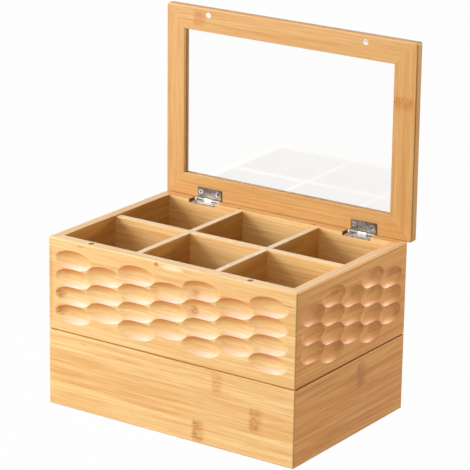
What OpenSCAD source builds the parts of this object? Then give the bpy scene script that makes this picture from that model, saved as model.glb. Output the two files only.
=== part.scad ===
// Two-tier tea bag box: a divided upper box with carved faces and a hinged
// window lid, standing on a plain storage tray of the same footprint.
// Millimetres, +Z up. The origin is the centre of the underside. The front
// faces -Y, and the lid stands open at its stop.

/* [Overall] */
// Width of both tiers, left to right
box_w = 250; // [200:1:320]
// Depth of both tiers, front to back
box_d = 170; // [140:1:230]
// Height of the divided upper box
upper_h = 81.9; // [70:0.1:110]
// Height of the lower tray
tray_h = 67.5; // [45:0.5:100]
// Thickness of the wall boards
wall_t = 9.5; // [8:0.1:12]
// Radius of the eased outer edges
edge_r = 1.2; // [0.4:0.1:2]

/* [Stacking lip and floors] */
// Thickness of the tongue on the tray walls
lip_t = 4.2; // [3:0.1:5]
// Height of the tongue above the tray's rim
lip_h = 3; // [2:0.1:5]
// Clearance between the tongue and the upper box
lip_fit = 0.4; // [0.3:0.05:0.8]
// Open seam between the walls of the two tiers
seam_gap = 0.6; // [0.3:0.1:1.2]
// Thickness of both floor boards
floor_t = 4; // [3:0.1:6]
// Height of the upper floor above the upper box's lower edge
floor_rise = 6; // [6:0.1:12]
// How far a floor board is let into the walls
floor_housing = 4; // [2:0.1:5]
// Gap left for the floor boards to swell
swell_gap = 0.4; // [0.1:0.05:1]

/* [Dividers] */
// Thickness of the long divider
long_divider_t = 7.5; // [4:0.1:10]
// Thickness of the cross dividers
cross_divider_t = 6; // [4:0.1:10]
// Number of compartments from left to right
compartments = 3; // [3:1:4]
// How far the dividers stop below the rim
divider_drop = 1.1; // [0.5:0.1:6]
// How far the divider ends are let into the walls
divider_housing = 2.5; // [1:0.1:4]
// Play in the halving joints between the dividers
halving_play = 0.1; // [0.05:0.05:0.4]
// Radius of the eased edges on dividers and the rim's inner edge
small_edge_r = 0.5; // [0.2:0.05:1]

/* [Carving] */
// Columns of scoops on the front
front_columns = 7; // [3:2:9]
// Columns of scoops on each side
side_columns = 5; // [3:2:7]
// Scoops in the taller columns
carve_rows = 4; // [2:1:5]
// Depth of a scoop
scoop_depth = 2.4; // [1:0.1:3]
// Bare border beside the carving
carve_margin_side = 7.5; // [4:0.5:20]
// Bare border above and below the carving
carve_margin_top = 9; // [6:0.25:20]
// How far neighbouring columns run into each other
column_overlap = 5; // [0:0.5:7]
// How far stacked scoops run into each other
row_overlap = 0.8; // [0:0.1:2]

/* [Lid] */
// Thickness of the lid frame
lid_t = 8; // [6.5:0.1:11]
// How far the lid stands out beyond the box to the left and right
side_overhang = 2.2; // [0:0.1:4]
// How far the lid stands out beyond the box to the front and back
end_overhang = 1.4; // [1:0.1:2.2]
// Width of the lid's front and back rails
rail_w = 20.8; // [18:0.1:30]
// Width of the lid's left stile
left_stile_w = 19; // [16:0.5:30]
// Width of the lid's right stile
right_stile_w = 22; // [16:0.5:30]
// Gap between the rim and the closed lid
lid_gap = 0.3; // [0.1:0.05:1]
// Opening angle at which the hinge stops
lid_open = 89.5; // [80:0.5:105]
// Thickness of the window pane
pane_t = 2; // [1.5:0.1:2.5]
// How far the pane lies behind the lid's inner face
pane_inset = 2.8; // [2:0.1:3.5]
// How far the pane is let into the frame
pane_housing = 4; // [2:0.1:6]
// Play of the pane in its groove
pane_fit = 0.1; // [0.05:0.05:0.3]

/* [Hinges] */
// Length of a hinge
hinge_l = 25; // [20:0.5:40]
// Distance from a box end to the middle of a hinge
hinge_inset = 45; // [30:1:60]
// Distance from the rear face to the pin behind it
pin_behind = 1; // [0.8:0.05:1.4]
// Width of a leaf from the pin to its free edge
leaf_w = 10.4; // [9:0.1:12]
// Thickness of a leaf
leaf_t = 1; // [0.8:0.05:1.4]
// Gap between the leaves of a closed hinge
leaf_gap = 1.5; // [1.4:0.05:2]
// Outer radius of the knuckles
knuckle_r = 1.45; // [1.3:0.05:1.5]
// Radius of the hinge pin
pin_r = 0.7; // [0.5:0.05:0.75]
// Radial running clearance of the pin
pin_play = 0.05; // [0.02:0.01:0.1]
// Gap between neighbouring knuckles
knuckle_gap = 0.3; // [0.2:0.05:0.5]
// Spare length of the mortise beyond each end of a leaf
mortise_end = 1.5; // [0.8:0.1:4]
// How far the stop reaches under the open lid
stop_l = 3; // [1.5:0.1:5]

/* [Screws] */
// Distance between the two screws of a leaf
screw_spacing = 18; // [12:0.5:19]
// Distance from the pin to the screws
screw_row = 6.2; // [5:0.1:6.6]
// Radius of a screw head
screw_head_r = 2.3; // [1.5:0.05:2.4]
// Radius of a screw shank
screw_r = 0.9; // [0.7:0.05:1.1]
// Length of the screws in the rear wall
box_screw_l = 9; // [6:0.5:12]
// Length of the screws in the lid
lid_screw_l = 5.5; // [4:0.5:6]
// Clearance of the screws in the leaves
screw_fit = 0.05; // [0.02:0.01:0.1]

/* [Magnets] */
// Diameter of the magnets
magnet_d = 5; // [4:0.5:6]
// Thickness of the magnets
magnet_t = 2; // [1.5:0.1:3]
// Distance between the two magnets of a pair
magnet_spacing = 160; // [120:1:180]
// Shift of the magnets from the middle
magnet_shift = -3; // [-10:1:10]
// Glue gap round a magnet
magnet_fit = 0.05; // [0.02:0.01:0.2]

/* [Hidden] */
$fn = 64;

bamboo = "burlywood";
steel = "lightgray";

// The four sides, as quarter turns from the front
FRONT = 0;
RIGHT = 1;
BACK = 2;
LEFT = 3;

upper_z = tray_h + seam_gap;
rim_z = upper_z + upper_h;
inner_w = box_w - 2 * wall_t;
inner_d = box_d - 2 * wall_t;
upper_floor_z = upper_z + floor_rise;
floor_top_z = upper_floor_z + floor_t;

divider_top_z = rim_z - divider_drop;
divider_h = divider_top_z - floor_top_z;
compartment_w = (inner_w - (compartments - 1) * cross_divider_t) / compartments;
divider_pitch = compartment_w + cross_divider_t;

carve_h = upper_h - 2 * carve_margin_top;
row_pitch = carve_h / carve_rows;

lid_z = rim_z + lid_gap;
member_w = [rail_w, right_stile_w, rail_w, left_stile_w];

hinge_x = box_w / 2 - hinge_inset;
pin_drop = leaf_gap / 2 + leaf_t;
pin_y = box_d / 2 + pin_behind;
pin_z = lid_z - pin_drop;
mortise_depth = 2 * leaf_t + leaf_gap - lid_gap;
knuckle_l = (hinge_l - 2 * knuckle_gap) / 3;
knuckle_pitch = knuckle_l + knuckle_gap;
plate_clear = 0.3;
leaf_clear = knuckle_r + plate_clear;

magnet_row = wall_t / 2;
over = 1;

// The side's own length, and the distance of its outer face from the middle
function side_length(side) = side % 2 == 0 ? box_w : box_d;
function side_reach(side) = side % 2 == 0 ? box_d / 2 : box_w / 2;
function overhang(side) = side % 2 == 0 ? end_overhang : side_overhang;

// Radius of the arc that has this chord and rise
function arc_radius(chord, rise) = (chord * chord / 4 + rise * rise) / (2 * rise);

// Local frame of a side: X runs along it, its outer face lies at Y = 0, and
// +Y points into the box
module on_side(side, z = 0) {
    rotate([0, 0, 90 * side])
        translate([0, -side_reach(side), z])
            children();
}

// Rectangle from the origin with its corners eased on the low-X side only
module eased_board(size, r) {
    union() {
        translate([r, 0])
            square([size[0] - r, size[1]]);
        translate([0, r])
            square([2 * r, size[1] - 2 * r]);
        translate([r, r])
            circle(r = r);
        translate([r, size[1] - r])
            circle(r = r);
    }
}

// Rectangle from the origin with all four corners eased
module eased_rectangle(size, r) {
    union() {
        translate([r, 0])
            square([size[0] - 2 * r, size[1]]);
        translate([0, r])
            square([size[0], size[1] - 2 * r]);
        for (x = [r, size[0] - r])
            for (y = [r, size[1] - r])
                translate([x, y])
                    circle(r = r);
    }
}

// Runs a section (X = thickness, Y = height) along a side and mitres its ends;
// the mitres reach in by start and end across the given width
module mitred_run(length, width, height, start, end) {
    intersection() {
        rotate([90, 0, 90])
            translate([0, 0, -length / 2])
                linear_extrude(length)
                    children();
        translate([0, 0, -over])
            linear_extrude(height + 2 * over)
                polygon([
                    [-length / 2 - over * start / width, -over],
                    [length / 2 + over * end / width, -over],
                    [length / 2 - end, width],
                    [-length / 2 + start, width]
                ]);
    }
}

// Prism of the footprint, which rounds the upright corners
module footprint(z, height, r, grow_x = 0, grow_y = 0) {
    translate([-box_w / 2 - grow_x, -box_d / 2 - grow_y, z])
        linear_extrude(height)
            eased_rectangle([box_w + 2 * grow_x, box_d + 2 * grow_y], r);
}

// One gouge: the mark of a crowned wheel that dips into the face at Y = 0
module scoop(length, height) {
    wheel_r = arc_radius(length, scoop_depth);
    crown_r = arc_radius(height, scoop_depth);
    clear = 0.5;
    half_angle = acos((wheel_r - scoop_depth - clear) / wheel_r);
    translate([0, scoop_depth - wheel_r, 0])
        rotate([0, 0, 90 - half_angle])
            rotate_extrude(angle = 2 * half_angle)
                intersection() {
                    translate([wheel_r - crown_r, 0])
                        circle(r = crown_r);
                    translate([wheel_r - scoop_depth - 2 * clear, -height])
                        square([scoop_depth + 4 * clear, 2 * height]);
                }
}

// Staggered scoops over one face; the columns take turns to be one scoop
// shorter, beginning with a short one in the middle
module carving(length, columns) {
    pitch = (length - 2 * carve_margin_side - column_overlap) / columns;
    half = (columns - 1) / 2;
    for (c = [-half:half]) {
        rows = carve_rows - (c % 2 == 0 ? 1 : 0);
        for (r = [0:rows - 1])
            translate([c * pitch, 0, upper_h / 2 + (r - (rows - 1) / 2) * row_pitch])
                scoop(pitch + column_overlap, row_pitch + row_overlap);
    }
}

// Section of an upper wall: housing for the floor, and a rebate that rests on
// the tray's tongue and so holds the seam open
module upper_section() {
    difference() {
        eased_board([wall_t, upper_h], edge_r);
        translate([wall_t - floor_housing, floor_rise])
            square([floor_housing + over, floor_t]);
        translate([wall_t - lip_t - lip_fit, -over])
            square([lip_t + lip_fit + over, lip_h - seam_gap + over]);
    }
}

// Section of a tray wall: rebate for the floor, tongue on the rim
module tray_section() {
    difference() {
        union() {
            eased_board([wall_t, tray_h], edge_r);
            translate([wall_t - lip_t, tray_h - over])
                eased_rectangle([lip_t, lip_h + over], small_edge_r);
        }
        translate([wall_t - floor_housing, -over])
            square([floor_housing + over, floor_t + over]);
    }
}

module tray_wall(side) {
    color(bamboo)
        intersection() {
            on_side(side)
                mitred_run(side_length(side), wall_t, tray_h + lip_h, wall_t, wall_t)
                    tray_section();
            footprint(-over, tray_h + lip_h + 2 * over, edge_r);
        }
}

// An upper wall before it is housed and carved
module upper_wall(side) {
    intersection() {
        on_side(side, upper_z)
            mitred_run(side_length(side), wall_t, upper_h, wall_t, wall_t)
                upper_section();
        footprint(upper_z - over, upper_h + 2 * over, edge_r);
    }
}

// Places of the cross dividers along X
function cross_divider_x() =
    [for (i = [1:compartments - 1]) (i - compartments / 2) * divider_pitch];

// Stopped housing of a divider end, closed below the rim
module divider_slot(x, thickness) {
    top_gap = 0.2;
    bottom = floor_rise + floor_t / 2;
    translate([x - thickness / 2, wall_t - divider_housing, bottom])
        cube([thickness, divider_housing + over, upper_h - divider_drop + top_gap - bottom]);
}

module magnet_places() {
    for (x = [-magnet_spacing / 2, magnet_spacing / 2])
        translate([x + magnet_shift, 0, 0])
            children();
}

module hinge_places() {
    for (x = [-hinge_x, hinge_x])
        translate([x, 0, 0])
            children();
}

// Both screws of one leaf, from the frame of its hinge
module screw_places() {
    for (x = [-screw_spacing / 2, screw_spacing / 2])
        translate([x, -screw_row, 0])
            children();
}

module upper_front() {
    color(bamboo)
        difference() {
            upper_wall(FRONT);
            on_side(FRONT, upper_z) {
                for (x = cross_divider_x())
                    divider_slot(x, cross_divider_t);
                carving(box_w, front_columns);
            }
            on_side(FRONT, rim_z)
                magnet_places()
                    translate([0, magnet_row, -magnet_t])
                        cylinder(h = magnet_t + over, r = magnet_d / 2 + magnet_fit);
        }
}

module upper_side(side) {
    color(bamboo)
        difference() {
            upper_wall(side);
            on_side(side, upper_z) {
                divider_slot(0, long_divider_t);
                carving(box_d, side_columns);
            }
        }
}

// The rear wall has a mortise for each hinge, right across its rim
module upper_back() {
    color(bamboo)
        difference() {
            upper_wall(BACK);
            on_side(BACK, upper_z)
                for (x = cross_divider_x())
                    divider_slot(x, cross_divider_t);
            hinge_places() {
                translate([-hinge_l / 2 - mortise_end, box_d / 2 - wall_t - over, rim_z - mortise_depth])
                    cube([hinge_l + 2 * mortise_end, wall_t + 2 * over, mortise_depth + over]);
                translate([0, pin_y, rim_z - mortise_depth + leaf_t])
                    screw_places()
                        screw_pilot(box_screw_l);
            }
        }
}

module upper_floor() {
    reach = floor_housing - swell_gap;
    color(bamboo)
        translate([-inner_w / 2 - reach, -inner_d / 2 - reach, upper_floor_z])
            cube([inner_w + 2 * reach, inner_d + 2 * reach, floor_t]);
}

module tray_floor() {
    reach = floor_housing - swell_gap;
    color(bamboo)
        translate([-inner_w / 2 - reach, -inner_d / 2 - reach, 0])
            cube([inner_w + 2 * reach, inner_d + 2 * reach, floor_t]);
}

// Board of a divider along X, standing on the floor, its top edges eased
module divider_board(length, thickness) {
    end_gap = 0.3;
    run = length + 2 * (divider_housing - end_gap);
    translate([-run / 2, thickness / 2, floor_top_z])
        rotate([90, 0, 90])
            linear_extrude(run)
                mirror([1, 0])
                    union() {
                        square([thickness, divider_h - small_edge_r - over]);
                        translate([0, divider_h - 3 * over - 2 * small_edge_r])
                            eased_rectangle([thickness, 3 * over + 2 * small_edge_r], small_edge_r);
                    }
}

// Cut for a halving joint, from one edge of the divider to its mid height
module halving(thickness, depth_across, from_top) {
    start = from_top ? floor_top_z + divider_h / 2 : floor_top_z - over;
    width = thickness + 2 * halving_play;
    translate([-width / 2, -depth_across / 2 - over, start])
        cube([width, depth_across + 2 * over, divider_h / 2 + over]);
}

module long_divider() {
    color(bamboo)
        difference() {
            divider_board(inner_w, long_divider_t);
            for (x = cross_divider_x())
                translate([x, 0, 0])
                    halving(cross_divider_t, long_divider_t, false);
        }
}

module cross_divider(x) {
    color(bamboo)
        translate([x, 0, 0])
            rotate([0, 0, 90])
                difference() {
                    divider_board(inner_d, cross_divider_t);
                    halving(long_divider_t, cross_divider_t, true);
                }
}

// The cross dividers left and right of the middle
module cross_dividers(sign) {
    for (x = cross_divider_x())
        if (sign * x > 0 || (x == 0 && sign < 0))
            cross_divider(x);
}

module magnet() {
    cylinder(h = magnet_t, r = magnet_d / 2);
}

module rim_magnets() {
    color(steel)
        on_side(FRONT, rim_z)
            magnet_places()
                translate([0, magnet_row, -magnet_t])
                    magnet();
}

// Puts what is drawn on the closed lid into its open place
module opened() {
    translate([0, pin_y, pin_z])
        rotate([-lid_open, 0, 0])
            translate([0, -pin_y, -pin_z])
                children();
}

// Section of a lid member: width along X, inner face at Y = 0
module lid_section(width) {
    difference() {
        union() {
            eased_board([width - 2 * small_edge_r, lid_t], edge_r);
            translate([width / 2, 0])
                eased_rectangle([width / 2, lid_t], small_edge_r);
        }
        translate([width - pane_housing, pane_inset])
            square([pane_housing + over, pane_t + pane_fit]);
    }
}

// One member of the lid; its mitres meet the members before and after it
module lid_member(side) {
    length = side_length(side) + 2 * overhang(side + 1);
    before = member_w[(side + 3) % 4];
    after = member_w[(side + 1) % 4];
    intersection() {
        on_side(side, lid_z)
            translate([0, -overhang(side), 0])
                mitred_run(length, member_w[side], lid_t, before, after)
                    lid_section(member_w[side]);
        footprint(lid_z - over, lid_t + 2 * over, 2 * edge_r, side_overhang, end_overhang);
    }
}

module lid_front_rail() {
    color(bamboo)
        opened()
            difference() {
                lid_member(FRONT);
                on_side(FRONT, lid_z)
                    magnet_places()
                        translate([0, magnet_row, -over])
                            cylinder(h = magnet_t + over, r = magnet_d / 2 + magnet_fit);
            }
}

module lid_back_rail() {
    color(bamboo)
        opened()
            difference() {
                lid_member(BACK);
                hinge_places()
                    translate([0, pin_y, lid_z - leaf_t])
                        mirror([0, 0, 1])
                            screw_places()
                                screw_pilot(lid_screw_l);
            }
}

module lid_stile(side) {
    color(bamboo)
        opened()
            lid_member(side);
}

module lid_pane() {
    reach = pane_housing - swell_gap;
    left = left_stile_w - side_overhang - box_w / 2 - reach;
    right = box_w / 2 + side_overhang - right_stile_w + reach;
    half_d = box_d / 2 + end_overhang - rail_w + reach;
    color("whitesmoke", 0.4)
        opened()
            translate([left, -half_d, lid_z + pane_inset])
                cube([right - left, 2 * half_d, pane_t]);
}

module lid_magnets() {
    color(steel)
        opened()
            on_side(FRONT, lid_z)
                magnet_places()
                    translate([0, magnet_row, 0])
                        magnet();
}

// Pilot hole of a screw whose head is flush with Z = 0
module screw_pilot(length) {
    tip_gap = 0.3;
    translate([0, 0, -length - tip_gap])
        cylinder(h = length + tip_gap, r = screw_r);
    translate([0, 0, -leaf_t])
        cylinder(h = leaf_t + over, r = screw_head_r + screw_fit);
}

// Countersunk screw, head flush with Z = 0, with a crossed recess
module screw(length) {
    recess_w = 0.7;
    recess_l = screw_head_r;
    difference() {
        union() {
            translate([0, 0, -leaf_t])
                cylinder(h = leaf_t, r1 = screw_r, r2 = screw_head_r);
            translate([0, 0, -length])
                cylinder(h = length - leaf_t / 2, r = screw_r);
        }
        for (turn = [0, 90])
            rotate([0, 0, turn])
                translate([-recess_l / 2, -recess_w / 2, -leaf_t / 2])
                    cube([recess_l, recess_w, leaf_t]);
    }
}

// Countersunk hole in a leaf whose outer face is at Z = 0
module screw_hole() {
    slope = (screw_head_r - screw_r) / leaf_t;
    mouth_r = screw_head_r + slope * over + screw_fit;
    translate([0, 0, -leaf_t])
        cylinder(h = leaf_t + over, r1 = screw_r + screw_fit, r2 = mouth_r);
    translate([0, 0, -leaf_t - over])
        cylinder(h = over + leaf_t / 2, r = screw_r + screw_fit);
}

// Section of a leaf across its pin: the rolled knuckle and the root of the plate
module knuckle_section(bore_r) {
    root = leaf_clear + over;
    difference() {
        union() {
            circle(r = knuckle_r);
            translate([-root, -pin_drop])
                square([root, leaf_t]);
            children();
        }
        circle(r = bore_r);
    }
}

// A leaf about its pin: the plate lies below the pin and reaches towards -Y,
// and knuckles stand on the thirds named, where -1, 0 and 1 run from the left;
// what is passed in joins the section of each knuckle
module leaf(thirds, bore_r) {
    difference() {
        union() {
            translate([hinge_l / 2, -leaf_w, -pin_drop])
                rotate([0, 0, 90])
                    linear_extrude(leaf_t)
                        eased_board([leaf_w - leaf_clear, hinge_l], leaf_t / 2);
            for (third = thirds)
                translate([third * knuckle_pitch - knuckle_l / 2, 0, 0])
                    rotate([90, 0, 90])
                        linear_extrude(knuckle_l)
                            knuckle_section(bore_r)
                                children();
        }
        translate([0, 0, -leaf_gap / 2])
            screw_places()
                screw_hole();
    }
}

// The box leaf also carries the stop, a tongue under the open lid's lower edge
module box_leaf(x) {
    stop_gap = 0.2;
    stop_t = 0.75;
    stop_start = knuckle_r / 2;
    color(steel)
        translate([x, pin_y, pin_z])
            leaf([0], pin_r)
                rotate(90 - lid_open)
                    translate([-stop_start, pin_behind - end_overhang - stop_gap - stop_t])
                        square([stop_start + pin_drop + stop_l, stop_t]);
}

module lid_leaf(x) {
    color(steel)
        opened()
            translate([x, pin_y, pin_z])
                mirror([0, 0, 1])
                    leaf([-1, 1], pin_r + pin_play);
}

// Pin with a rivet head at each end
module pin(x) {
    head_t = 0.5;
    head_step = 0.4;
    end_gap = 0.1;
    head_r = pin_r + head_step;
    reach = hinge_l / 2 + end_gap;
    color(steel)
        translate([x, pin_y, pin_z])
            rotate([0, 90, 0]) {
                translate([0, 0, -reach])
                    cylinder(h = 2 * reach, r = pin_r);
                for (side = [0, 1])
                    mirror([0, 0, side])
                        translate([0, 0, reach])
                            cylinder(h = head_t, r1 = head_r, r2 = pin_r);
            }
}

module box_leaf_screws() {
    color(steel)
        hinge_places()
            translate([0, pin_y, pin_z - leaf_gap / 2])
                screw_places()
                    screw(box_screw_l);
}

module lid_leaf_screws() {
    color(steel)
        opened()
            hinge_places()
                translate([0, pin_y, pin_z + leaf_gap / 2])
                    mirror([0, 0, 1])
                        screw_places()
                            screw(lid_screw_l);
}

tray_wall(FRONT);  // tray_front
tray_wall(BACK);  // tray_back
tray_wall(LEFT);  // tray_left
tray_wall(RIGHT);  // tray_right
tray_floor();
upper_front();
upper_back();
upper_side(LEFT);  // upper_left
upper_side(RIGHT);  // upper_right
upper_floor();
long_divider();
cross_dividers(-1);  // cross_divider_left
cross_dividers(1);  // cross_divider_right
rim_magnets();
lid_front_rail();
lid_back_rail();
lid_stile(LEFT);  // lid_left_stile
lid_stile(RIGHT);  // lid_right_stile
lid_pane();
lid_magnets();
box_leaf(-hinge_x);  // left_box_leaf
lid_leaf(-hinge_x);  // left_lid_leaf
pin(-hinge_x);  // left_pin
box_leaf(hinge_x);  // right_box_leaf
lid_leaf(hinge_x);  // right_lid_leaf
pin(hinge_x);  // right_pin
box_leaf_screws();
lid_leaf_screws();
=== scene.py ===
"""Finishes, fittings and studio for a two-tier bamboo tea bag box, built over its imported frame."""

import math

import bmesh
import bpy
from bpy.props import FloatProperty, FloatVectorProperty, PointerProperty
from mathutils import Matrix, Vector

bl_info = {
    "name": "Bamboo Tea Box",
    "version": (1, 0, 0),
    "blender": (4, 5, 0),
    "location": "3D View > Sidebar > Tea Box",
    "description": "Finishes, fittings and studio for a two-tier bamboo tea bag box",
    "category": "Object",
}

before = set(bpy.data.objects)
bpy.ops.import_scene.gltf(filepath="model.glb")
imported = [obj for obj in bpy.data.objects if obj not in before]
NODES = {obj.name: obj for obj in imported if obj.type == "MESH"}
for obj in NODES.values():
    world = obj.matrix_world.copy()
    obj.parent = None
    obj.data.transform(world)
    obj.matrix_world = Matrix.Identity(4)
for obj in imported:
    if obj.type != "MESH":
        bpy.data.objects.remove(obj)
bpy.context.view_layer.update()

MM = 0.001
WHITE = (1, 1, 1)


def linear(hex_colour):
    """Linear RGB of an sRGB hex colour."""
    parts = [int(hex_colour[i : i + 2], 16) / 255 for i in (1, 3, 5)]
    return tuple(c / 12.92 if c <= 0.04045 else ((c + 0.055) / 1.055) ** 2.4 for c in parts)


def add(tree, kind, links=None, **settings):
    """Adds a node; links maps input sockets to values, sockets or nodes (their first output)."""
    node = tree.nodes.new(kind)
    for name, value in settings.items():
        setattr(node, name, value)
    for key, source in (links or {}).items():
        socket = node.inputs[key]
        if isinstance(source, bpy.types.Node):
            source = source.outputs[0]
        if isinstance(source, bpy.types.NodeSocket):
            tree.links.new(source, socket)
        else:
            # Colours are given without their alpha
            socket.default_value = (*source, 1) if socket.type == "RGBA" else source
    return node


def new_material(name):
    """A new material and its node tree, which is empty."""
    material = bpy.data.materials.new(name)
    material.use_nodes = True
    material.node_tree.nodes.clear()
    return material, material.node_tree


def millimetres(tree):
    """The position on a piece in mm of the row frame, with the lid open and the box down."""
    place = add(tree, "ShaderNodeTexCoord").outputs["Object"]
    return add(tree, "ShaderNodeVectorMath", {0: place, 1: (1 / MM,) * 3}, operation="MULTIPLY")


def within(tree, place, low, high):
    """1 where a position lies between two opposite corners."""
    centre = [(a + b) / 2 for a, b in zip(low, high)]
    half = [(b - a) / 2 for a, b in zip(low, high)]
    away = add(tree, "ShaderNodeVectorMath", {0: place, 1: centre}, operation="SUBTRACT")
    away = add(tree, "ShaderNodeVectorMath", {0: away, 1: half}, operation="DIVIDE")
    away = add(tree, "ShaderNodeVectorMath", {0: away}, operation="ABSOLUTE")
    away = add(tree, "ShaderNodeSeparateXYZ", {0: away})
    far = add(tree, "ShaderNodeMath", {0: away.outputs[0], 1: away.outputs[1]}, operation="MAXIMUM")
    far = add(tree, "ShaderNodeMath", {0: far, 1: away.outputs[2]}, operation="MAXIMUM")
    return add(tree, "ShaderNodeMath", {0: far, 1: 1.0}, operation="LESS_THAN")


def dress(name, material):
    """Gives a frame node this material."""
    if name not in NODES:
        raise RuntimeError(f"the frame has no node {name}")
    slots = NODES[name].data.materials
    slots.clear()
    slots.append(material)


# Settings -----------------------------------------------------------------------------------


class TEABOX_PG_bamboo(bpy.types.PropertyGroup):
    """Strip-laminated bamboo, planed, sanded and sealed with a satin lacquer."""

    honey: FloatVectorProperty(
        name="Honey", description="Pale fibre between the grain lines",
        subtype="COLOR", size=3, min=0, max=1, default=linear("#E9CA93"),
    )
    grain: FloatVectorProperty(
        name="Grain", description="Fibre bundles that show as grain lines",
        subtype="COLOR", size=3, min=0, max=1, default=linear("#CF9651"),
    )
    culm: FloatVectorProperty(
        name="Culm Node", description="Fibres that turn where the cane had a joint",
        subtype="COLOR", size=3, min=0, max=1, default=linear("#B06C26"),
    )
    # Cream is also the painted light on the upward faces of some boards
    cream: FloatVectorProperty(
        name="Cream", description="Palest patches, beside a joint or over filler",
        subtype="COLOR", size=3, min=0, max=1, default=linear("#F4E4CB"),
    )
    # Amber is painted shade: on the side of each scoop away from the light, on the lit side of the
    # right-hand scoops and on the upward faces of the rear wall
    amber: FloatVectorProperty(
        name="Amber", description="Painted shade in the scoops and on the rear rim",
        subtype="COLOR", size=3, min=0, max=1, default=linear("#CC7A26"),
    )
    # Painted highlight: a pinkish white on the side of each scoop that faces the light
    highlight_tint: FloatVectorProperty(
        name="Highlight Tint", description="Painted highlight tint on the lit side of a scoop",
        subtype="COLOR", size=3, min=0, max=1, default=linear("#CFA59B"),
    )
    # Painted shade: the dark brown in the seam between the tiers, the hinge seats, the rim's slots and
    # the window's edges
    seam: FloatVectorProperty(
        name="Seam", description="Painted shade in the seam, the hinge seats and the window's edges",
        subtype="COLOR", size=3, min=0, max=1, default=linear("#5E3717"),
    )
    lid_cast: FloatVectorProperty(
        name="Lid Cast", description="Darker, warmer cast of the lid frame",
        subtype="COLOR", size=3, min=0, max=1, default=linear("#E4D7C2"),
    )
    shade_cast: FloatVectorProperty(
        name="Shade Cast", description="Darker cast of the left side of each compartment",
        subtype="COLOR", size=3, min=0, max=1, default=linear("#DDCFB4"),
    )
    inside_cast: FloatVectorProperty(
        name="Inside Cast", description="Paler, cooler cast of the inside faces",
        subtype="COLOR", size=3, min=0, max=2, default=(1.06, 1.12, 1.18),
    )
    # Painted shade: the right-hand boards, on the side away from the key light, take a deeper amber
    right_shade_cast: FloatVectorProperty(
        name="Right Shade Cast", description="Painted amber shade on the right-hand boards",
        subtype="COLOR", size=3, min=0, max=1, default=linear("#F8E1BF"),
    )
    strip_width: FloatProperty(
        name="Strip Width", description="Width of one bamboo strip in a board",
        subtype="DISTANCE", unit="LENGTH", min=0.005, max=0.06, default=0.0225,
    )
    line_spacing: FloatProperty(
        name="Line Spacing", description="Distance between grain lines",
        subtype="DISTANCE", unit="LENGTH", min=0.0005, max=0.01, default=0.0016,
    )
    lacquer_roughness: FloatProperty(
        name="Lacquer Roughness", description="Sheen of the satin lacquer",
        subtype="FACTOR", min=0, max=1, default=0.42,
    )
    lacquer_gloss: FloatProperty(
        name="Lacquer Gloss", description="Specular level of the thin, rubbed lacquer",
        subtype="FACTOR", min=0, max=1, default=0.45,
    )


class TEABOX_PG_fittings(bpy.types.PropertyGroup):
    """Nickel-plated hinges and magnets, and the acrylic pane."""

    # Painted shade and reflection: the lid leaves take this darker plating, the box leaves of the same
    # hinges the bright one
    nickel: FloatVectorProperty(
        name="Nickel", description="Darker plating of the lid's hinge leaves",
        subtype="COLOR", size=3, min=0, max=1, default=linear("#8C867E"),
    )
    bright: FloatVectorProperty(
        name="Bright Nickel", description="Rubbed plating of the pins and screws",
        subtype="COLOR", size=3, min=0, max=1, default=linear("#D8D5CF"),
    )
    # Painted shade and reflection: the magnets in the rim are plated a dark brownish grey
    painted_tone: FloatVectorProperty(
        name="Rim Magnet Nickel", description="Shaded plating of the magnets in the rim",
        subtype="COLOR", size=3, min=0, max=1, default=linear("#62503F"),
    )
    nickel_roughness: FloatProperty(
        name="Nickel Roughness", description="Sheen of the barrel-plated steel",
        subtype="FACTOR", min=0, max=1, default=0.4,
    )
    pane_roughness: FloatProperty(
        name="Pane Roughness", description="Haze on the acrylic pane",
        subtype="FACTOR", min=0, max=1, default=0.015,
    )


class TEABOX_PG_studio(bpy.types.PropertyGroup):
    """Soft light from the left front, above and the right back, round a white floor."""

    key_power: FloatProperty(
        name="Key Power", description="Tall softbox at the left front",
        subtype="POWER", unit="POWER", min=0, max=500, default=83,
    )
    top_power: FloatProperty(
        name="Top Power", description="Softbox above the left front",
        subtype="POWER", unit="POWER", min=0, max=500, default=18,
    )
    side_power: FloatProperty(
        name="Side Power", description="Softbox at the right, towards the back",
        subtype="POWER", unit="POWER", min=0, max=500, default=41,
    )
    front_power: FloatProperty(
        name="Front Power", description="Weak softbox beside the camera",
        subtype="POWER", unit="POWER", min=0, max=500, default=13,
    )
    fill_strength: FloatProperty(
        name="Fill Strength", description="Even light from the white room",
        min=0, max=2, default=0.15,
    )
    fill: FloatVectorProperty(
        name="Fill", description="Warm cast that the wood gives its own shade",
        subtype="COLOR", size=3, min=0, max=1, default=linear("#FFEAC8"),
    )
    floor_white: FloatProperty(
        name="Floor White", description="How far the floor is held at plain white",
        subtype="FACTOR", min=0, max=1, default=0.985,
    )


# Bamboo -------------------------------------------------------------------------------------

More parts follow.
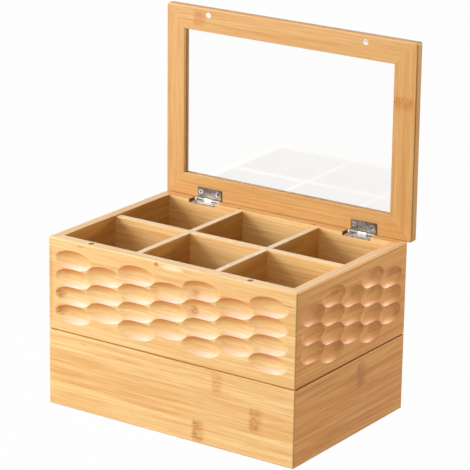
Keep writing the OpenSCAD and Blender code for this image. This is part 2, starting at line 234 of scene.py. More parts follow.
# Each board: the axis its cane runs along, the axis its strips lie across, where the first
# strip starts (mm), a seed and the culm nodes. A node is (along, across, length, height,
# strength) in mm of the row frame, with the lid open.
BOARDS = {
    "tray_front": (
        "X", "Z", 0, 3,
        [(50, 57, 14, 20, 0.6), (88, 33.5, 15, 22, 0.9), (31, 11, 14, 21, 1.0)],
    ),
    "tray_back": (
        "X", "Z", 0, 11,
        [(-70, 57, 12, 20, 0.8), (38, 34, 13, 21, 0.9), (-10, 11, 12, 21, 0.8)],
    ),
    "tray_left": ("Y", "Z", 0, 17, [(35, 57, 12, 20, 0.7), (-48, 11, 13, 21, 0.9)]),
    "tray_right": ("Y", "Z", 0, 23, [(17, 51, 17, 24, 1.0)]),
    "upper_front": ("X", "Z", 68.1, 31, []),
    "upper_back": ("X", "Z", 68.1, 37, [(62, 79, 12, 20, 0.8), (-44, 124, 13, 21, 0.9)]),
    "upper_left": ("Y", "Z", 68.1, 41, [(-28, 101, 12, 20, 0.8)]),
    "upper_right": ("Y", "Z", 68.1, 47, []),
    "upper_floor": ("X", "Y", -85, 53, []),
    "tray_floor": ("X", "Y", -85, 59, [(-66, 12, 12, 21, 0.8), (40, -34, 13, 21, 0.9)]),
    "long_divider": ("X", "Z", 78.1, 61, []),
    "cross_divider_left": ("Y", "Z", 78.1, 67, []),
    "cross_divider_right": ("Y", "Z", 78.1, 71, []),
    "lid_front_rail": ("X", "Z", 299, 73, [(-92, 311, 15, 16, 0.9)]),
    "lid_back_rail": ("X", "Z", 148.1, 79, []),
    "lid_left_stile": ("Z", "X", -127, 83, []),
    "lid_right_stile": ("Z", "X", 105, 89, [(267, 116, -14, 22, 1.0)]),
}

# How much more strongly the grain shows in some boards
FIGURE = {"tray_right": 1.8, "upper_right": 1.5, "tray_front": 1.15}

# Painted shade and highlight in the scoops: the carved field of a board as two opposite corners
# (mm), along and across the cane, the way the side painted with shade faces, how strong that
# shade is and how strong the painted highlight on the far side; below 0 the far side is painted
# with shade as well
SCOOP_SHADING = {
    "upper_front": ((-120, 76), (120, 144), (0.5, 0, -0.86), 0.85, 0.6),
    "upper_left": ((-80, 76), (80, 144), (0, 0.5, -0.86), 0.7, 0.4),
    "upper_right": ((-80, 76), (80, 144), (0, -0.5, -0.86), 0.7, -0.8),
}

# How far the outer faces lie from the middle of the box (mm), by the axis that they face
OUTER_FACE = {"X": 125, "Y": 85}

# Painted shade beside the seam between the tiers: from and to (mm of height) and strength
SEAM_SHADE = {
    "tray_front": (66.6, 69, 0.1), "upper_front": (67, 69, 0.1),
    "tray_right": (66.8, 69, 0.9), "upper_right": (67, 68.9, 0.9),
    "tray_left": (66.4, 69, 0.5), "upper_left": (67, 69, 0.5),
    "tray_back": (66.4, 69, 0.5), "upper_back": (67, 69, 0.5),
}

# The upright corner between the front and the right side, painted paler as painted light
LIT_CORNER = ((123.9, -86, -1), (126, -83.9, 151), "honey", 0.5)

# Small areas of painted light and shade: two opposite corners (mm), a colour and a strength
PATCHES = {
    "upper_front": [LIT_CORNER],
    "upper_right": [LIT_CORNER],
    "tray_front": [LIT_CORNER],
    "tray_right": [LIT_CORNER],
    # Painted shade in the hinge seats, and two spots of it in the slots of the cross dividers
    "upper_back": [
        ((-110, 76.4, 144), (110, 84.7, 149.8), "seam", 0.85),
        ((-43.2, 77.7, 149), (-40.8, 79.3, 151), "seam", 0.8),
        ((34.6, 77.6, 149), (37.2, 79.2, 151), "seam", 0.8),
    ],
    # Painted shade on the edges of the window
    "lid_left_stile": [((-108.5, 88.2, 165), (-107.5, 97, 305), "seam", 0.5)],
    "lid_back_rail": [((-112, 88.4, 168.7), (112, 97, 170), "seam", 0.1)],
}

# How far from the middle of the box (mm) a wall of the upper box counts as an inside face
INSIDE = {"upper_front": 75.9, "upper_back": 75.9, "upper_left": 115.9, "upper_right": 115.9}

# How strongly the upward faces of a board are painted paler, as painted light from above; below 0
# they are painted darker, as painted shade
TOP_LIGHT = {
    "upper_back": -0.25,
    "upper_front": 0.35, "upper_right": 0.35, "upper_left": 0.2, "upper_floor": 0.2,
    "long_divider": 0.45, "cross_divider_left": 0.7, "cross_divider_right": 0.7,
}

# Culm nodes that a gouge has cut across, given like the culm nodes above
EYES = {
    "upper_front": [
        (26, 130, 13, 11, 0.7), (25, 114, 13, 12, 0.9),
        (-113, 102, 14, 12, 0.9), (-113, 87, 15, 12, 0.9),
    ],
    "upper_right": [
        (34, 133, 17, 11, 0.8), (62, 129, 17, 12, 0.9), (-26, 134, 17, 8, 0.7), (4, 127, 16, 12, 0.8),
        (32, 121, 15, 8, 0.6), (-52, 124, 14, 12, 0.6), (-28, 121, 14, 10, 0.6), (34, 87, 15, 12, 0.8),
        (71, 90, 12, 12, 0.9), (-20, 88, 15, 12, 0.7), (14, 95, 12, 10, 0.5), (66, 112, 12, 12, 0.4),
    ],
    "upper_left": [(-20, 94, 13, 12, 0.8)],
}

# Small marks as (along, across, length, height, strength) in mm; below 0 they are paler
MARKS = {
    "upper_front": [
        (-12.8, 147.2, 4.5, 4.8, 0.8), (-122.4, 109, 6, 84, 0.3), (3, 146.4, 27, 4.5, -0.7),
        (-91, 147, 9, 1.8, 0.5), (118, 137.5, 16, 1.8, 0.5), (120, 96, 13, 1.6, 0.4),
    ],
    "tray_front": [(-88, 61, 9, 1.6, 0.4), (-40, 56, 40, 2.4, 0.25), (-20, 20, 60, 2, 0.25)],
    "tray_right": [
        (-50, 62.5, 70, 1.8, 0.55), (20, 20, 90, 2.2, 0.3),
        (12, 50, 60, 16, 0.25), (-45, 56, 60, 6, 0.3),
    ],
    "lid_front_rail": [(-75, 316, 30, 1.6, 0.4)],
    "lid_right_stile": [(254, 118, 20, 1.5, 0.35)],
}

# The strips' tone, 0 for grain and 1 for honey: a strip's darkest, what chance adds to it, and
# how far the broad bands and the grain lines move it
STRIP_TONE, CHANCE_TONE = 0.42, 0.26
BAND_TONE, LINE_TONE = 0.9, 1.5

# How dark the fibre bundles and the glue lines are, and the width of a glue line (mm)
FIBRE_STRENGTH, GLUE_STRENGTH = 0.24, 0.3
GLUE_WIDTH = 0.3

# How far the cane of one strip may be moved against the next (mm), along, across and deep
CANE_SHIFT = (900, 90, 90)

# Over how much wood one finish gives way to another (mm)
FADE = 0.3

# How squarely a carved face turns towards the shaded direction where its painted colour starts
# and where it is full: the side painted with shade, and the side painted with a highlight, which
# turns away
SHADED_SIDE, LIT_SIDE = (0.1, 0.42), (-0.04, -0.42)

# How deep below a board's outer face the painted shade beside the seam ends, and to where it
# is full (mm)
SEAM_DEPTH = (1, 0.6)

MARK_INPUTS = {"Position": "Vector", "Centre": "Vector", "Size": "Vector"}


def node_group(name, inputs, outputs):
    """A new shader node group and its input node; sockets are given as {name: kind}."""
    tree = bpy.data.node_groups.new(name, "ShaderNodeTree")
    for in_out, sockets in (("INPUT", inputs), ("OUTPUT", outputs)):
        for socket, kind in sockets.items():
            kind = f"NodeSocket{kind}"
            tree.interface.new_socket(name=socket, in_out=in_out, socket_type=kind)
    return tree, add(tree, "NodeGroupInput")


def strip_pattern(wood):
    """Node group: cane strips laid side by side, from a position in mm along, across and deep."""
    inputs = {"Position": "Vector", "Start": "Float", "Seed": "Float", "Figure": "Float"}
    outputs = {"Color": "Color", "Height": "Float"}
    tree, given = node_group("Laminated bamboo strips", inputs, outputs)
    place, start, seed, figure = (given.outputs[name] for name in inputs)
    across = add(tree, "ShaderNodeSeparateXYZ", {0: place}).outputs[1]
    across = add(tree, "ShaderNodeMath", {0: across, 1: start}, operation="SUBTRACT")
    strips = add(tree, "ShaderNodeMath", {0: across, 1: wood.strip_width / MM}, operation="DIVIDE")
    number = add(tree, "ShaderNodeMath", {0: strips}, operation="FLOOR")
    seeded = add(tree, "ShaderNodeMath", {0: number, 1: seed}, operation="ADD")
    chance = add(tree, "ShaderNodeTexWhiteNoise", {"W": seeded}, noise_dimensions="1D")

    # Every strip is cut from another length of cane, so its grain starts elsewhere
    shift = {0: chance.outputs["Color"], 1: CANE_SHIFT}
    shift = add(tree, "ShaderNodeVectorMath", shift, operation="MULTIPLY")
    cane = add(tree, "ShaderNodeVectorMath", {0: place, 1: shift}, operation="ADD")

    # What runs along the cane, as its length and width in mm, its detail and its roughness
    runs = {
        # Broad bands, from the wall of the cane
        "band": (160, 6, 2, 0.5),
        # Grain lines; the real ones are about 1 mm apart and are drawn coarser so that they show
        "line": (70, wood.line_spacing / MM, 3, 0.6),
        # Dashes of cut fibre bundles
        "fibre": (16, 0.7, 2, 0.5),
    }
    noise = {}
    for name, (length, width, detail, roughness) in runs.items():
        stretch = (1 / length, 1 / width, 1 / width)
        drawn = add(tree, "ShaderNodeVectorMath", {0: cane, 1: stretch}, operation="MULTIPLY")
        drawn = {"Vector": drawn, "Scale": 1, "Detail": detail, "Roughness": roughness}
        noise[name] = add(tree, "ShaderNodeTexNoise", drawn).outputs[0]
    # Only the strongest dashes count as bundles
    bundle = add(tree, "ShaderNodeMapRange", {0: noise["fibre"], 1: 0.54, 2: 0.72, 3: 0.0, 4: 1.0})

    own = {0: chance.outputs["Value"], 1: CHANCE_TONE, 2: STRIP_TONE}
    own = add(tree, "ShaderNodeMath", own, operation="MULTIPLY_ADD")
    # Noise lies round 0.5, so half of its strength is taken off again
    band = {0: noise["band"], 1: BAND_TONE, 2: -BAND_TONE / 2}
    band = add(tree, "ShaderNodeMath", band, operation="MULTIPLY_ADD")
    line = {0: noise["line"], 1: LINE_TONE, 2: -LINE_TONE / 2}
    line = add(tree, "ShaderNodeMath", line, operation="MULTIPLY_ADD")
    tone = add(tree, "ShaderNodeMath", {0: band, 1: line}, operation="ADD")
    tone = {0: tone, 1: figure, 2: own}
    tone = add(tree, "ShaderNodeMath", tone, operation="MULTIPLY_ADD", use_clamp=True)
    body = add(tree, "ShaderNodeMix", {0: tone, 6: wood.grain, 7: wood.honey}, data_type="RGBA")
    cut = add(tree, "ShaderNodeMath", {0: bundle, 1: FIBRE_STRENGTH}, operation="MULTIPLY")
    fibred = add(tree, "ShaderNodeMix", {0: cut, 6: body.outputs[2], 7: wood.culm}, data_type="RGBA")

    # Glue line between strips
    part = add(tree, "ShaderNodeMath", {0: strips}, operation="FRACT")
    glue_share = GLUE_WIDTH * MM / wood.strip_width
    glue = add(tree, "ShaderNodeMapRange", {0: part, 1: 0.0, 2: glue_share, 3: GLUE_STRENGTH, 4: 0.0})
    colour = add(tree, "ShaderNodeMix", {0: glue, 6: fibred.outputs[2], 7: wood.culm}, data_type="RGBA")
    height = add(tree, "ShaderNodeMath", {0: noise["line"], 1: bundle}, operation="SUBTRACT")
    add(tree, "NodeGroupOutput", {"Color": colour.outputs[2], "Height": height})
    return tree


def wavering(tree, given, reach):
    """A position moved to and fro by up to half of reach (mm), and where that lies in the mark,
    from -0.5 to 0.5 along and across it."""
    place, centre, size = (given.outputs[name] for name in MARK_INPUTS)
    waver = add(tree, "ShaderNodeTexNoise", {"Vector": place, "Scale": 0.3, "Detail": 2}).outputs[1]
    waver = add(tree, "ShaderNodeVectorMath", {0: waver, 1: (0.5, 0.5, 0.5)}, operation="SUBTRACT")
    waver = add(tree, "ShaderNodeVectorMath", {0: waver, 1: reach}, operation="MULTIPLY")
    moved = add(tree, "ShaderNodeVectorMath", {0: place, 1: waver}, operation="ADD")
    away = add(tree, "ShaderNodeVectorMath", {0: moved, 1: centre}, operation="SUBTRACT")
    away = add(tree, "ShaderNodeVectorMath", {0: away, 1: size}, operation="DIVIDE")
    return moved, away


def from_centre(tree, away):
    """How far a place in a mark lies from its centre, about 0.5 at the outline."""
    flat = add(tree, "ShaderNodeVectorMath", {0: away, 1: (1, 1, 0)}, operation="MULTIPLY")
    return add(tree, "ShaderNodeVectorMath", {0: flat}, operation="LENGTH").outputs["Value"]


def culm_pattern():
    """Node group: a cane's joint across one strip, a soft scar with short dashes beside it."""
    tree, given = node_group("Bamboo culm node", MARK_INPUTS, {"Mark": "Float"})
    moved, away = wavering(tree, given, (3, 2, 0))
    side = add(tree, "ShaderNodeSeparateXYZ", {0: away})
    along = side.outputs[0]
    across = add(tree, "ShaderNodeMath", {0: side.outputs[1]}, operation="ABSOLUTE")
    # Turned fibres, dashes about 5 mm long and 1 mm wide
    fibres = add(tree, "ShaderNodeVectorMath", {0: moved, 1: (0.2, 0.95, 0.95)}, operation="MULTIPLY")
    fibres = {"Vector": fibres, "Scale": 1, "Detail": 2, "Roughness": 0.6}
    fibres = add(tree, "ShaderNodeTexNoise", fibres)
    # The scar lies to one side of the middle, where the joint was
    scar = add(tree, "ShaderNodeMath", {0: along, 1: 0.36}, operation="ADD")
    scar = add(tree, "ShaderNodeMath", {0: scar}, operation="ABSOLUTE")

    # Soft steps: what they follow, where they start and end, and what they give at each
    steps = {
        "dash": (fibres, 0.4, 0.64, 0.3, 0.9),
        "fade": (along, 0.0, 0.6, 1.0, 0.0),
        "scar": (scar, 0.0, 0.16, 0.45, 0.0),
        "sides": (across, 0.3, 0.56, 1.0, 0.0),
        "start": (along, -0.56, -0.28, 0.0, 1.0),
    }
    soft = {
        name: add(tree, "ShaderNodeMapRange", dict(enumerate(step)), interpolation_type="SMOOTHSTEP")
        for name, step in steps.items()
    }
    mark = add(tree, "ShaderNodeMath", {0: soft["dash"], 1: soft["fade"]}, operation="MULTIPLY")
    mark = add(tree, "ShaderNodeMath", {0: mark, 1: soft["scar"]}, operation="MAXIMUM")
    for edge in ("sides", "start"):
        mark = add(tree, "ShaderNodeMath", {0: mark, 1: soft[edge]}, operation="MULTIPLY")
    add(tree, "NodeGroupOutput", {"Mark": mark})
    return tree


def eye_pattern():
    """Node group: a cane's joint cut across by a gouge, a soft mottle drawn out along the cane."""
    tree, given = node_group("Carved culm node", MARK_INPUTS, {"Mark": "Float"})
    moved, away = wavering(tree, given, (5, 4, 0))
    # Turned fibres, wisps about 3 mm long and 1 mm wide
    wisps = add(tree, "ShaderNodeVectorMath", {0: moved, 1: (0.35, 1.0, 0.35)}, operation="MULTIPLY")
    wisps = {"Vector": wisps, "Scale": 1, "Detail": 2, "Distortion": 1.2}
    wisps = add(tree, "ShaderNodeTexNoise", wisps)
    wisps = {0: wisps, 1: 0.42, 2: 0.62, 3: 0.3, 4: 1.0}
    wisps = add(tree, "ShaderNodeMapRange", wisps, interpolation_type="SMOOTHSTEP")
    fade = {0: from_centre(tree, away), 1: 0.15, 2: 0.52, 3: 1.0, 4: 0.0}
    fade = add(tree, "ShaderNodeMapRange", fade, interpolation_type="SMOOTHSTEP")
    mark = add(tree, "ShaderNodeMath", {0: wisps, 1: fade}, operation="MULTIPLY", use_clamp=True)
    add(tree, "NodeGroupOutput", {"Mark": mark})
    return tree


def mark_pattern():
    """Node group: one soft-edged streak or speck with a wavering outline."""
    tree, given = node_group("Bamboo mark", MARK_INPUTS, {"Mark": "Float"})
    away = wavering(tree, given, (1.6, 0.8, 0))[1]
    mark = {0: from_centre(tree, away), 1: 0.25, 2: 0.52, 3: 1.0, 4: 0.0}
    mark = add(tree, "ShaderNodeMapRange", mark, interpolation_type="SMOOTHSTEP")
    add(tree, "NodeGroupOutput", {"Mark": mark})
    return tree


def casts(node, wood):
    """Colour casts of a board, on the faces that look out and on those that look in; the outer faces of
    the right-hand boards take painted shade.
    """
    if node.startswith("lid_"):
        return wood.lid_cast, wood.lid_cast
    if node.startswith("cross_divider"):
        return wood.shade_cast, wood.shade_cast
    if node in ("long_divider", "upper_floor"):
        return wood.inside_cast, wood.inside_cast
    # Painted shade on the outer faces of the right-hand boards
    out = wood.right_shade_cast if node in ("tray_right", "upper_right") else WHITE
    if node == "upper_left":
        return out, wood.shade_cast
    return out, wood.inside_cast if node in INSIDE else out


def painted_top_light(tree, colour, turned, wood, painted_tone):
    """The upward faces of a board painted paler with cream as painted light, and painted darker in amber
    as painted shade where the strength is below 0.
    """
    upward = add(tree, "ShaderNodeSeparateXYZ", {0: turned}).outputs[2]
    edge = add(tree, "ShaderNodeMapRange", {0: upward, 1: 0.8, 2: 1.0, 3: 0.0, 4: abs(painted_tone)})
    paint = wood.cream if painted_tone > 0 else wood.amber
    return add(tree, "ShaderNodeMix", {0: edge, 6: colour, 7: paint}, data_type="RGBA").outputs[2]


def painted_scoop_shading(tree, colour, turned, lay, wood, field):
    """The scoops: painted shade on the side of each scoop that turns from the light, and a painted
    highlight on the far side; where that strength is below 0, painted shade there as well.
    """
    low, high, shade_facing, dark, pale = field
    facing = add(tree, "ShaderNodeVectorMath", {0: turned, 1: shade_facing}, operation="DOT_PRODUCT")
    facing = facing.outputs["Value"]
    carved = within(tree, lay, (*low, -1e3), (*high, 1e3))
    lit_side_paint = wood.highlight_tint if pale > 0 else wood.amber
    for (start, full), strength, paint in ((SHADED_SIDE, dark, wood.amber), (LIT_SIDE, pale, lit_side_paint)):
        slope = {0: facing, 1: start, 2: full, 3: 0.0, 4: abs(strength)}
        slope = add(tree, "ShaderNodeMapRange", slope)
        slope = add(tree, "ShaderNodeMath", {0: slope, 1: carved}, operation="MULTIPLY")
        colour = add(tree, "ShaderNodeMix", {0: slope, 6: colour, 7: paint}, data_type="RGBA").outputs[2]
    return colour


def painted_seam_shade(tree, height, depth, groove, face):
    """How strong the painted shade beside the seam between the tiers is, from its height and depth (mm).
    """
    low, high, strength = groove
    half = (high - low) / 2
    seam = add(tree, "ShaderNodeMath", {0: height, 1: (low + high) / 2}, operation="SUBTRACT")
    seam = add(tree, "ShaderNodeMath", {0: seam}, operation="ABSOLUTE")
    seam = add(tree, "ShaderNodeMapRange", {0: seam, 1: half - FADE, 2: half, 3: strength, 4: 0.0})
    # Only on the board's outer skin, so that a lifted box shows clean shoulders
    ends, full = (face - below for below in SEAM_DEPTH)
    skin = add(tree, "ShaderNodeMath", {0: depth}, operation="ABSOLUTE")
    skin = add(tree, "ShaderNodeMapRange", {0: skin, 1: ends, 2: full, 3: 0.0, 4: 1.0})
    return add(tree, "ShaderNodeMath", {0: seam, 1: skin}, operation="MULTIPLY")


def bamboo(node, wood):
    """Sealed bamboo for one board: even fibre with soft lines, a satin sheen and faint relief."""
    grain, across, start, seed, culms = BOARDS[node]
    deep = ({"X", "Y", "Z"} - {grain, across}).pop()
    material, tree = new_material(f"Sealed bamboo, {node.replace('_', ' ')}")
    groups = bpy.data.node_groups
    laminate = groups.get("Laminated bamboo strips") or strip_pattern(wood)
    culm = groups.get("Bamboo culm node") or culm_pattern()
    eye = groups.get("Carved culm node") or eye_pattern()
    speck = groups.get("Bamboo mark") or mark_pattern()

    place = millimetres(tree)
    axes = add(tree, "ShaderNodeSeparateXYZ", {0: place}).outputs
    depth = axes[deep]
    lay = add(tree, "ShaderNodeCombineXYZ", {0: axes[grain], 1: axes[across], 2: depth})
    cane = add(
        tree, "ShaderNodeGroup",
        {"Position": lay, "Start": start, "Seed": seed, "Figure": FIGURE.get(node, 1)},
        node_tree=laminate,
    )
    cast, inner = casts(node, wood)
    if node in INSIDE:
        limit = INSIDE[node]
        inward = add(tree, "ShaderNodeMath", {0: depth}, operation="ABSOLUTE")
        inward = add(tree, "ShaderNodeMapRange", {0: inward, 1: limit, 2: limit + FADE, 3: 1.0, 4: 0.0})
        cast = add(tree, "ShaderNodeMix", {0: inward, 6: cast, 7: inner}, data_type="RGBA").outputs[2]
    colour = add(
        tree, "ShaderNodeMix", {0: 1.0, 6: cane.outputs["Color"], 7: cast},
        data_type="RGBA", blend_type="MULTIPLY",
    ).outputs[2]

    turned = add(tree, "ShaderNodeTexCoord").outputs["Normal"]
    # Painted light on the upward faces; painted shade where the strength is below 0
    if node in TOP_LIGHT:
        colour = painted_top_light(tree, colour, turned, wood, TOP_LIGHT[node])
    # Painted shade and painted highlight in the scoops
    if node in SCOOP_SHADING:
        colour = painted_scoop_shading(tree, colour, turned, lay, wood, SCOOP_SHADING[node])
    gloss = wood.lacquer_gloss
    # Painted shade beside the seam between the tiers
    if node in SEAM_SHADE:
        seam_dark = painted_seam_shade(tree, axes["Z"], depth, SEAM_SHADE[node], OUTER_FACE[deep])
        colour = {0: seam_dark, 6: colour, 7: wood.seam}
        colour = add(tree, "ShaderNodeMix", colour, data_type="RGBA").outputs[2]
        # The painted shade takes no gloss either, so that it stays dark
        strength = SEAM_SHADE[node][2]
        gloss = add(tree, "ShaderNodeMapRange", {0: seam_dark, 1: 0.0, 2: strength, 3: gloss, 4: 0.0})
    # Painted light and shade on small areas
    for low, high, paint, strength in PATCHES.get(node, []):
        patch = within(tree, place, low, high)
        patch = add(tree, "ShaderNodeMath", {0: patch, 1: strength}, operation="MULTIPLY")
        paint = getattr(wood, paint)
        colour = add(tree, "ShaderNodeMix", {0: patch, 6: colour, 7: paint}, data_type="RGBA").outputs[2]
    for pattern, marks in ((culm, culms), (eye, EYES.get(node, [])), (speck, MARKS.get(node, []))):
        for mark_along, mark_across, length, height, strength in marks:
            centre, size = (mark_along, mark_across, 0), (length, height, 1)
            mark = {"Position": lay, "Centre": centre, "Size": size}
            mark = add(tree, "ShaderNodeGroup", mark, node_tree=pattern)
            mark = add(tree, "ShaderNodeMath", {0: mark, 1: abs(strength)}, operation="MULTIPLY")
            paint = wood.culm if strength > 0 else wood.cream
            colour = {0: mark, 6: colour, 7: paint}
            colour = add(tree, "ShaderNodeMix", colour, data_type="RGBA").outputs[2]

    fibres = cane.outputs["Height"]
    relief = add(tree, "ShaderNodeBump", {"Strength": 0.25, "Distance": 0.06 * MM, "Height": fibres})
    dull, shiny = wood.lacquer_roughness + 0.05, wood.lacquer_roughness - 0.04
    sheen = add(tree, "ShaderNodeMapRange", {0: fibres, 1: 0.2, 2: 0.8, 3: dull, 4: shiny})
    shader = add(
        tree, "ShaderNodeBsdfPrincipled",
        {
            "Base Color": colour, "Roughness": sheen, "IOR": 1.5,
            "Specular IOR Level": gloss, "Normal": relief,
        },
    )
    add(tree, "ShaderNodeOutputMaterial", {"Surface": shader})
    return material


# Fittings -----------------------------------------------------------------------------------

# How bright the plating is where it is clouded over, against the clear plating
CLOUDED = 0.6

# Painted shade in the screws' recesses, and the two opposite corners (mm) between which it lies
RECESS_SHADE = linear("#2B2119")
RECESSES = {
    "box_leaf_screws": ((-125, 70, 130), (125, 90, 147.5)),
    "lid_leaf_screws": ((-125, 86.95, 148), (125, 100, 170)),
}


def plated_steel(name, colour, roughness, sunk=None):
    """Barrel-plated nickel on pressed steel: a satin grey with faint clouding.

    sunk gives two opposite corners (mm) within which the recess of a screw is painted dark, as painted
    shade.
    """
    material, tree = new_material(name)
    place = add(tree, "ShaderNodeTexCoord").outputs["Object"]
    # Handling haze in patches about 3 mm across, 330 to the metre
    haze = add(tree, "ShaderNodeTexNoise", {"Vector": place, "Scale": 330, "Detail": 2})
    clean, smeared = roughness - 0.06, roughness + 0.08
    dull = add(tree, "ShaderNodeMapRange", {0: haze, 1: 0.3, 2: 0.7, 3: clean, 4: smeared})
    dim = [CLOUDED * part for part in colour]
    cloud = add(tree, "ShaderNodeMapRange", {0: haze, 1: 0.35, 2: 0.65, 3: 0.0, 4: 1.0})
    shade = add(tree, "ShaderNodeMix", {0: cloud, 6: dim, 7: colour}, data_type="RGBA").outputs[2]
    if sunk:
        # Painted shade in the screw's recess
        recess = within(tree, millimetres(tree), *sunk)
        shade = add(tree, "ShaderNodeMix", {0: recess, 6: shade, 7: RECESS_SHADE}, data_type="RGBA").outputs[2]
    # Tumbling marks 0.5 mm apart
    marks = add(tree, "ShaderNodeTexNoise", {"Vector": place, "Scale": 1 / (0.5 * MM), "Detail": 1})
    relief = add(tree, "ShaderNodeBump", {"Strength": 0.05, "Distance": 0.01 * MM, "Height": marks})
    shader = add(
        tree, "ShaderNodeBsdfPrincipled",
        {"Base Color": shade, "Metallic": 0.85, "Roughness": dull, "Normal": relief},
    )
    add(tree, "ShaderNodeOutputMaterial", {"Surface": shader})
    return material


def acrylic_sheet(roughness):
    """Clear cast acrylic with a trace of dust; lamps and bounced light pass straight through."""
    material, tree = new_material("Clear acrylic sheet")
    place = add(tree, "ShaderNodeTexCoord").outputs["Object"]
    # Wiping haze in patches about 40 mm across
    dust = add(tree, "ShaderNodeTexNoise", {"Vector": place, "Scale": 1 / (40 * MM), "Detail": 3})
    dusty = roughness + 0.015
    haze = add(tree, "ShaderNodeMapRange", {0: dust, 1: 0.35, 2: 0.75, 3: roughness, 4: dusty})
    sheet = add(
        tree, "ShaderNodeBsdfPrincipled",
        {"Base Color": (0.985, 0.985, 0.98), "Transmission Weight": 1.0, "IOR": 1.49, "Roughness": haze},
    )
    clear = add(tree, "ShaderNodeBsdfTransparent", {"Color": (0.94, 0.94, 0.94)})
    path = add(tree, "ShaderNodeLightPath").outputs
    lit = {0: path["Is Shadow Ray"], 1: path["Is Diffuse Ray"]}
    lit = add(tree, "ShaderNodeMath", lit, operation="MAXIMUM")
    mixed = add(tree, "ShaderNodeMixShader", {0: lit, 1: sheet, 2: clear})
    add(tree, "ShaderNodeOutputMaterial", {"Surface": mixed})
    return material


# Studio -------------------------------------------------------------------------------------

WARM = linear("#FFEBC4")

# Softboxes: name, the setting that holds the power, colour, width and height, and place (m)
SOFTBOXES = (
    ("Key softbox", "key_power", WHITE, (1.1, 1.5), (-1.75, -1.47, 0.85)),
    ("Top softbox", "top_power", WHITE, (1.6, 1.6), (-0.9, -0.5, 2.1)),
    ("Side softbox", "side_power", WARM, (0.7, 0.7), (1.06, 1.97, 0.55)),
    ("Front softbox", "front_power", WARM, (1.2, 1.2), (1.5, -1.7, 0.8)),
)
# The point that they all look at (m)
LIT_POINT = (0, 0, 0.12)

# Light that the floor gives back to the wood, as linear RGB
FLOOR_TINT = (0.3, 0.27, 0.22)

# The camera's place (m); how far it stands round to the right of the front, how far it looks
# down and its roll (degrees); and its lens on a sensor 36 mm wide (mm)
CAMERA_PLACE = (1.15194, -1.68727, 0.79876)
CAMERA_TURN = (34.158, 17.531, 0.921)
CAMERA_LENS = 195.09


def seen_white(tree):
    """1 where the eye, a reflection or the pane looks, 0 for bounced light."""
    path = add(tree, "ShaderNodeLightPath").outputs
    seen = {0: path["Is Camera Ray"], 1: path["Is Glossy Ray"]}
    seen = add(tree, "ShaderNodeMath", seen, operation="MAXIMUM")
    return add(tree, "ShaderNodeMath", {0: seen, 1: path["Is Transmission Ray"]}, operation="MAXIMUM")


# Operators ----------------------------------------------------------------------------------


def finish_boards(context, word):
    """Gives each board with this word in its name a bamboo of its own."""
    for name in BOARDS:
        if word in name:
            dress(name, bamboo(name, context.scene.teabox_bamboo))
    return {"FINISHED"}


class TEABOX_OT_tray(bpy.types.Operator):
    """Finish the boards and floor of the lower tray"""

    bl_idname = "teabox.tray"
    bl_label = "Lower Tray"

    def execute(self, context):
        return finish_boards(context, "tray_")


class TEABOX_OT_upper_box(bpy.types.Operator):
    """Finish the carved walls and the floor of the upper box"""

    bl_idname = "teabox.upper_box"
    bl_label = "Upper Box"

    def execute(self, context):
        return finish_boards(context, "upper_")


class TEABOX_OT_dividers(bpy.types.Operator):
    """Finish the long divider and the cross dividers"""

    bl_idname = "teabox.dividers"
    bl_label = "Dividers"

    def execute(self, context):
        return finish_boards(context, "divider")


class TEABOX_OT_lid_frame(bpy.types.Operator):
    """Finish the rails and stiles of the lid"""

    bl_idname = "teabox.lid_frame"
    bl_label = "Lid Frame"

    def execute(self, context):
        return finish_boards(context, "lid_")


class TEABOX_OT_pane(bpy.types.Operator):
    """Finish the window pane"""

    bl_idname = "teabox.pane"
    bl_label = "Window Pane"

    def execute(self, context):
        dress("lid_pane", acrylic_sheet(context.scene.teabox_fittings.pane_roughness))
        return {"FINISHED"}


class TEABOX_OT_hinges(bpy.types.Operator):
    """Finish the hinge leaves, pins and screws"""

    bl_idname = "teabox.hinges"
    bl_label = "Hinges"

    def execute(self, context):
        fittings = context.scene.teabox_fittings
        dull, rubbed = fittings.nickel_roughness, fittings.nickel_roughness - 0.1
        shaded_plate = plated_steel("Nickel-plated hinge steel", fittings.nickel, dull)
        rubbed_plate = plated_steel("Rubbed nickel-plated hinge steel", fittings.bright, rubbed)
        # The lid leaves take the darker plating as painted shade and reflection
        for side in ("left", "right"):
            dress(f"{side}_lid_leaf", shaded_plate)
            dress(f"{side}_box_leaf", rubbed_plate)
            dress(f"{side}_pin", rubbed_plate)
        for screws, sunk in RECESSES.items():
            name = f"Nickel-plated {screws.replace('_', ' ')}"
            dress(screws, plated_steel(name, fittings.bright, rubbed, sunk))
        return {"FINISHED"}


class TEABOX_OT_magnets(bpy.types.Operator):
    """Finish the disc magnets in the rim and the lid"""

    bl_idname = "teabox.magnets"
    bl_label = "Magnets"

    def execute(self, context):
        fittings = context.scene.teabox_fittings
        # The rim magnets take painted shade and reflection in a dark brownish plating
        dress("rim_magnets", plated_steel("Scuffed nickel-plated magnet", fittings.painted_tone, roughness=0.35))
        dress("lid_magnets", plated_steel("Clean nickel-plated magnet", fittings.bright, roughness=0.3))
        return {"FINISHED"}


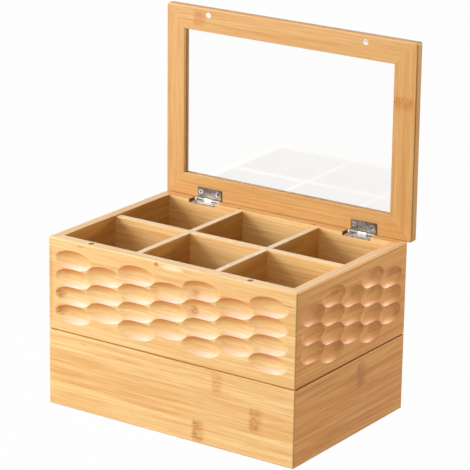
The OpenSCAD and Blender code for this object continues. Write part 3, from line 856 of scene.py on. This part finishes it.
class TEABOX_OT_studio(bpy.types.Operator):
    """Set up the white floor, the soft lights and the camera"""

    bl_idname = "teabox.studio"
    bl_label = "Studio"

    def execute(self, context):
        scene = context.scene
        studio = scene.teabox_studio
        self.floor(scene, studio)
        self.world(scene, studio)
        for name, power, colour, size, place in SOFTBOXES:
            self.softbox(scene, name, getattr(studio, power), colour, size, place)
        self.camera(scene)
        scene.view_settings.view_transform = "Standard"
        return {"FINISHED"}

    def floor(self, scene, studio):
        """A disc of white paper that looks plain white and keeps the box's shadow."""
        mesh = bpy.data.meshes.new("studio_floor")
        shape = bmesh.new()
        bmesh.ops.create_circle(shape, cap_ends=True, radius=12, segments=64)
        shape.to_mesh(mesh)
        shape.free()
        floor = bpy.data.objects.new("studio_floor", mesh)
        scene.collection.objects.link(floor)
        material, tree = new_material("White seamless paper")
        paper = add(tree, "ShaderNodeBsdfDiffuse", {"Color": FLOOR_TINT})
        glow = add(tree, "ShaderNodeEmission", {"Color": WHITE, "Strength": 1.0})
        share = {0: seen_white(tree), 1: studio.floor_white}
        share = add(tree, "ShaderNodeMath", share, operation="MULTIPLY")
        mixed = add(tree, "ShaderNodeMixShader", {0: share, 1: paper, 2: glow})
        add(tree, "ShaderNodeOutputMaterial", {"Surface": mixed})
        mesh.materials.append(material)

    def world(self, scene, studio):
        """A room that looks plain white and fills the shade with a little warm light."""
        world = bpy.data.worlds.new("White studio room")
        scene.world = world
        world.use_nodes = True
        tree = world.node_tree
        tree.nodes.clear()
        fill = {"Color": studio.fill, "Strength": studio.fill_strength}
        fill = add(tree, "ShaderNodeBackground", fill)
        white = add(tree, "ShaderNodeBackground", {"Color": WHITE, "Strength": 1.0})
        mixed = add(tree, "ShaderNodeMixShader", {0: seen_white(tree), 1: fill, 2: white})
        add(tree, "ShaderNodeOutputWorld", {"Surface": mixed})

    def softbox(self, scene, name, power, colour, size, place):
        """A rectangular lamp that looks at the box."""
        light = bpy.data.lights.new(name, "AREA")
        light.energy = power
        light.color = colour
        light.shape = "RECTANGLE"
        light.size, light.size_y = size
        lamp = bpy.data.objects.new(name, light)
        lamp.location = place
        aim = Vector(LIT_POINT) - lamp.location
        lamp.rotation_euler = aim.to_track_quat("-Z", "Y").to_euler()
        scene.collection.objects.link(lamp)

    def camera(self, scene):
        """A long lens 2.19 m from the origin, to the right of the front and a little above."""
        azimuth, elevation, roll = (math.radians(angle) for angle in CAMERA_TURN)
        back = Vector((
            math.sin(azimuth) * math.cos(elevation),
            -math.cos(azimuth) * math.cos(elevation),
            math.sin(elevation),
        ))
        right = (-back).cross(Vector((0, 0, 1))).normalized()
        up = back.cross(right)
        tilted_right = right * math.cos(roll) + up * math.sin(roll)
        tilted_up = up * math.cos(roll) - right * math.sin(roll)
        lens = bpy.data.cameras.new("Camera")
        lens.sensor_width = 36
        lens.lens = CAMERA_LENS
        lens.clip_start = 0.1
        lens.clip_end = 50
        camera = bpy.data.objects.new("Camera", lens)
        turn = Matrix((tilted_right, tilted_up, back)).transposed().to_4x4()
        camera.matrix_world = Matrix.Translation(CAMERA_PLACE) @ turn
        scene.collection.objects.link(camera)
        scene.camera = camera


# Panel and registration ---------------------------------------------------------------------

OPERATORS = (
    TEABOX_OT_tray,
    TEABOX_OT_upper_box,
    TEABOX_OT_dividers,
    TEABOX_OT_lid_frame,
    TEABOX_OT_pane,
    TEABOX_OT_hinges,
    TEABOX_OT_magnets,
    TEABOX_OT_studio,
)
GROUPS = {
    "teabox_bamboo": TEABOX_PG_bamboo,
    "teabox_fittings": TEABOX_PG_fittings,
    "teabox_studio": TEABOX_PG_studio,
}


class TEABOX_PT_panel(bpy.types.Panel):
    """Sizes, colours and steps of the tea box"""

    bl_label = "Bamboo Tea Box"
    bl_idname = "TEABOX_PT_panel"
    bl_space_type = "VIEW_3D"
    bl_region_type = "UI"
    bl_category = "Tea Box"

    def draw(self, context):
        for group in GROUPS:
            settings = getattr(context.scene, group)
            box = self.layout.box()
            for name in settings.bl_rna.properties.keys():
                if name not in {"rna_type", "name"}:
                    box.prop(settings, name)
        column = self.layout.column(align=True)
        for operator in OPERATORS:
            column.operator(operator.bl_idname)


def register():
    for cls in (*GROUPS.values(), *OPERATORS, TEABOX_PT_panel):
        bpy.utils.register_class(cls)
    for name, group in GROUPS.items():
        setattr(bpy.types.Scene, name, PointerProperty(type=group))


def unregister():
    for name in GROUPS:
        delattr(bpy.types.Scene, name)
    for cls in (TEABOX_PT_panel, *reversed(OPERATORS), *reversed(GROUPS.values())):
        bpy.utils.unregister_class(cls)


def main():
    register()
    for operator in OPERATORS:
        area, name = operator.bl_idname.split(".")
        getattr(getattr(bpy.ops, area), name)()


if __name__ == "__main__":
    main()
